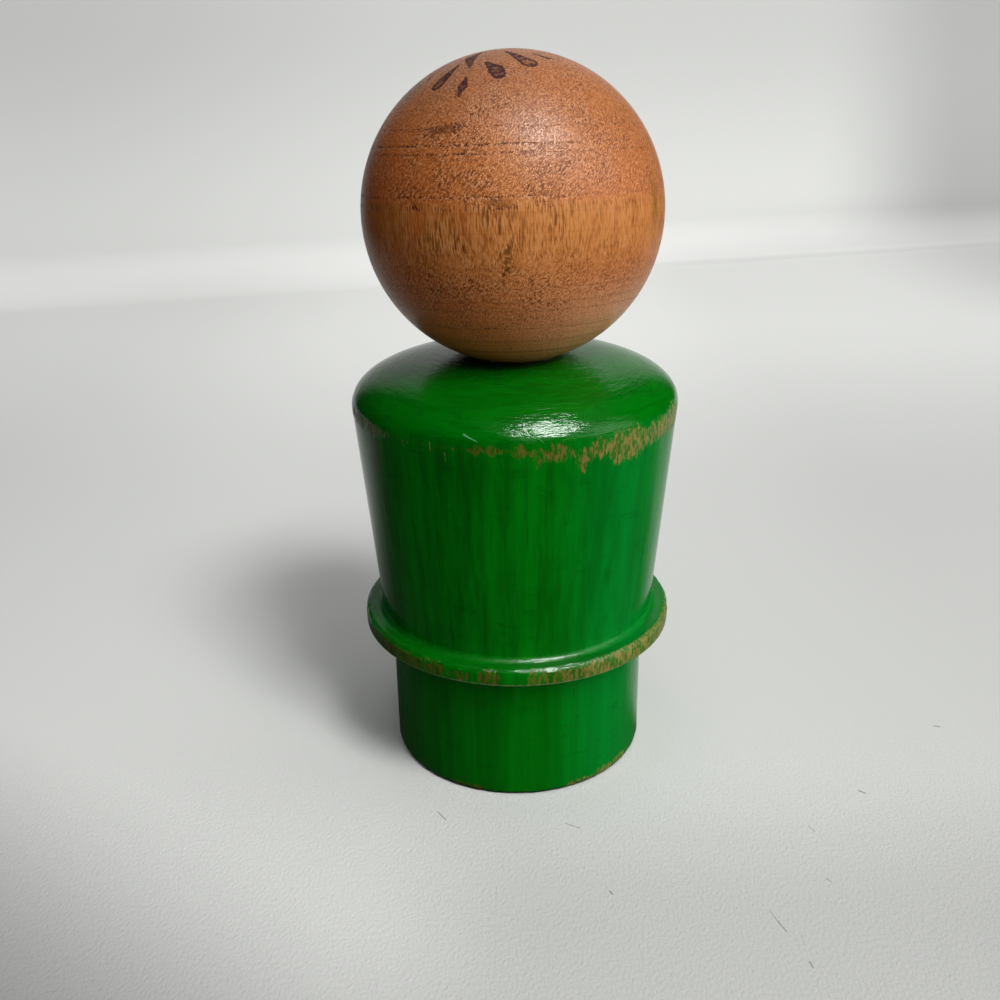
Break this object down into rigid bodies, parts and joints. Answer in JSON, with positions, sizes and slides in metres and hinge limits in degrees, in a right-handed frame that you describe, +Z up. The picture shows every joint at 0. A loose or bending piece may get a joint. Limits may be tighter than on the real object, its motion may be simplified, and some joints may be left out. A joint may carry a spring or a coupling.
{
  "type": "peg doll",
  "caption": "Turned wooden peg doll: ball head turning on a pin, tapered painted body, and a round foot with a flange that plugs into a seat hole.",
  "frame": {"origin": "middle of the foot's underside, on the surface the doll stands on", "axes": "+Z up along the turning axis, the doll's front looks to -Y, +X to the doll's left"},
  "size_m": [0.0254, 0.0254, 0.0556],
  "materials": {
    "green_paint": "glossy green enamel over turned hardwood, worn to the wood along its edges",
    "flesh_paint": "thin satin flesh-coloured paint over turned hardwood, with the pores showing",
    "steel": "plain bright steel"
  },
  "bodies": {
    "body": {"doll_body": "green_paint"},
    "head": {"head": "flesh_paint", "neck_pin": "steel"}
  },
  "joints": [
    {"name": "head_turn", "type": "hinge", "parent": "body", "child": "head", "pos_m": [0, 0, 0.0338], "axis": [0, 0, 1], "continuous": true}
  ]
}
